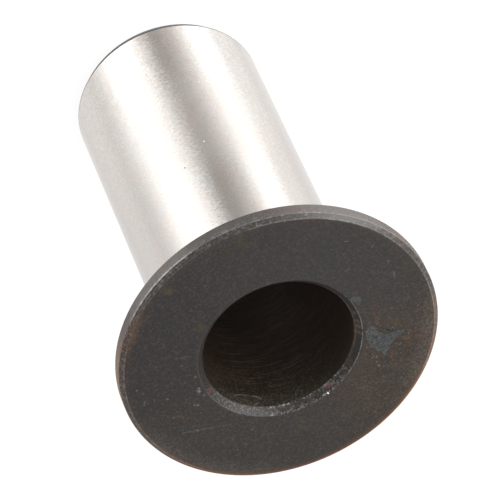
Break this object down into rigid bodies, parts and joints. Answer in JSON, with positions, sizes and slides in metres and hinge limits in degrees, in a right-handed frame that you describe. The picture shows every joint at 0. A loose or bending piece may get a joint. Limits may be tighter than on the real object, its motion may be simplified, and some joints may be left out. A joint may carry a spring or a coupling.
{
  "type": "flanged swingarm bushing",
  "caption": "Plain steel sleeve with a broad flat flange at one end and a straight through bore for a swingarm pivot bolt.",
  "frame": {"origin": "on the bore's axis, in the plane of the flange's seating shoulder, where the sleeve begins", "axes": "+Z along the bore's axis, from the sleeve out through the flange; X and Y are any two directions across it"},
  "size_m": [0.0364, 0.0364, 0.0483],
  "materials": {
    "steel": "outside of the sleeve ground bright; flange and bore left black from heat treatment, with light rust"
  },
  "bodies": {
    "root": {"bushing": "steel"}
  },
  "joints": []
}
